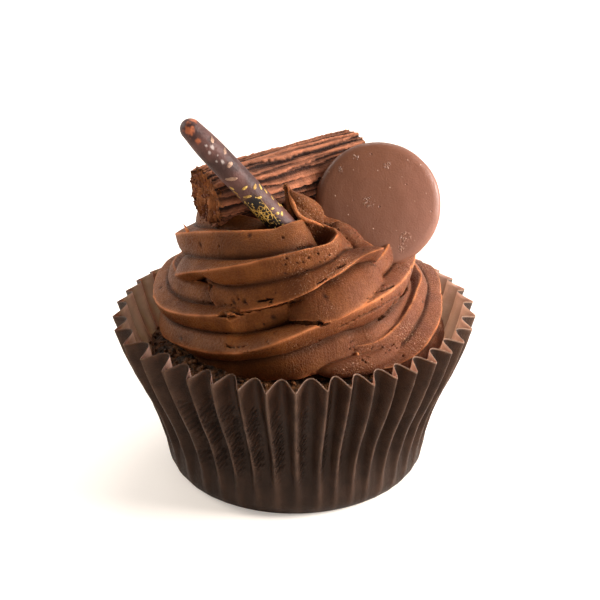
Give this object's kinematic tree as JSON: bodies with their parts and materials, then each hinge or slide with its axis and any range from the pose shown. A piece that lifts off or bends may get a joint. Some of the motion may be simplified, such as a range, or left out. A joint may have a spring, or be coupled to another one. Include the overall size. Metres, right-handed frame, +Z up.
{
  "type": "cupcake",
  "caption": "Chocolate cupcake in a dark fluted paper case, with a piped chocolate swirl, a ridged chocolate log, a flat chocolate disc and a thin chocolate stick.",
  "frame": {"origin": "centre of the paper case's base, on the surface it stands on", "axes": "+Z up along the case's axis; the front, which the chocolate disc faces, looks along -Y"},
  "size_m": [0.0772, 0.0772, 0.0804],
  "materials": {
    "case_paper": "dark brown crimped baking paper, matt with a faint greaseproof sheen",
    "cake_crumb": "dark, moist, open chocolate crumb",
    "frosting": "satin piped chocolate frosting with fine pits and short tears",
    "log_chocolate": "folded milk chocolate with long rough ridges",
    "disc_chocolate": "smooth satin milk chocolate with fine specks",
    "stick_chocolate": "dark glossy chocolate with pale gold marks"
  },
  "bodies": {
    "root": {"paper_case": "case_paper", "cake": "cake_crumb", "frosting": "frosting", "ridged_log": "log_chocolate", "chocolate_disc": "disc_chocolate", "rolled_stick": "stick_chocolate"}
  },
  "joints": []
}
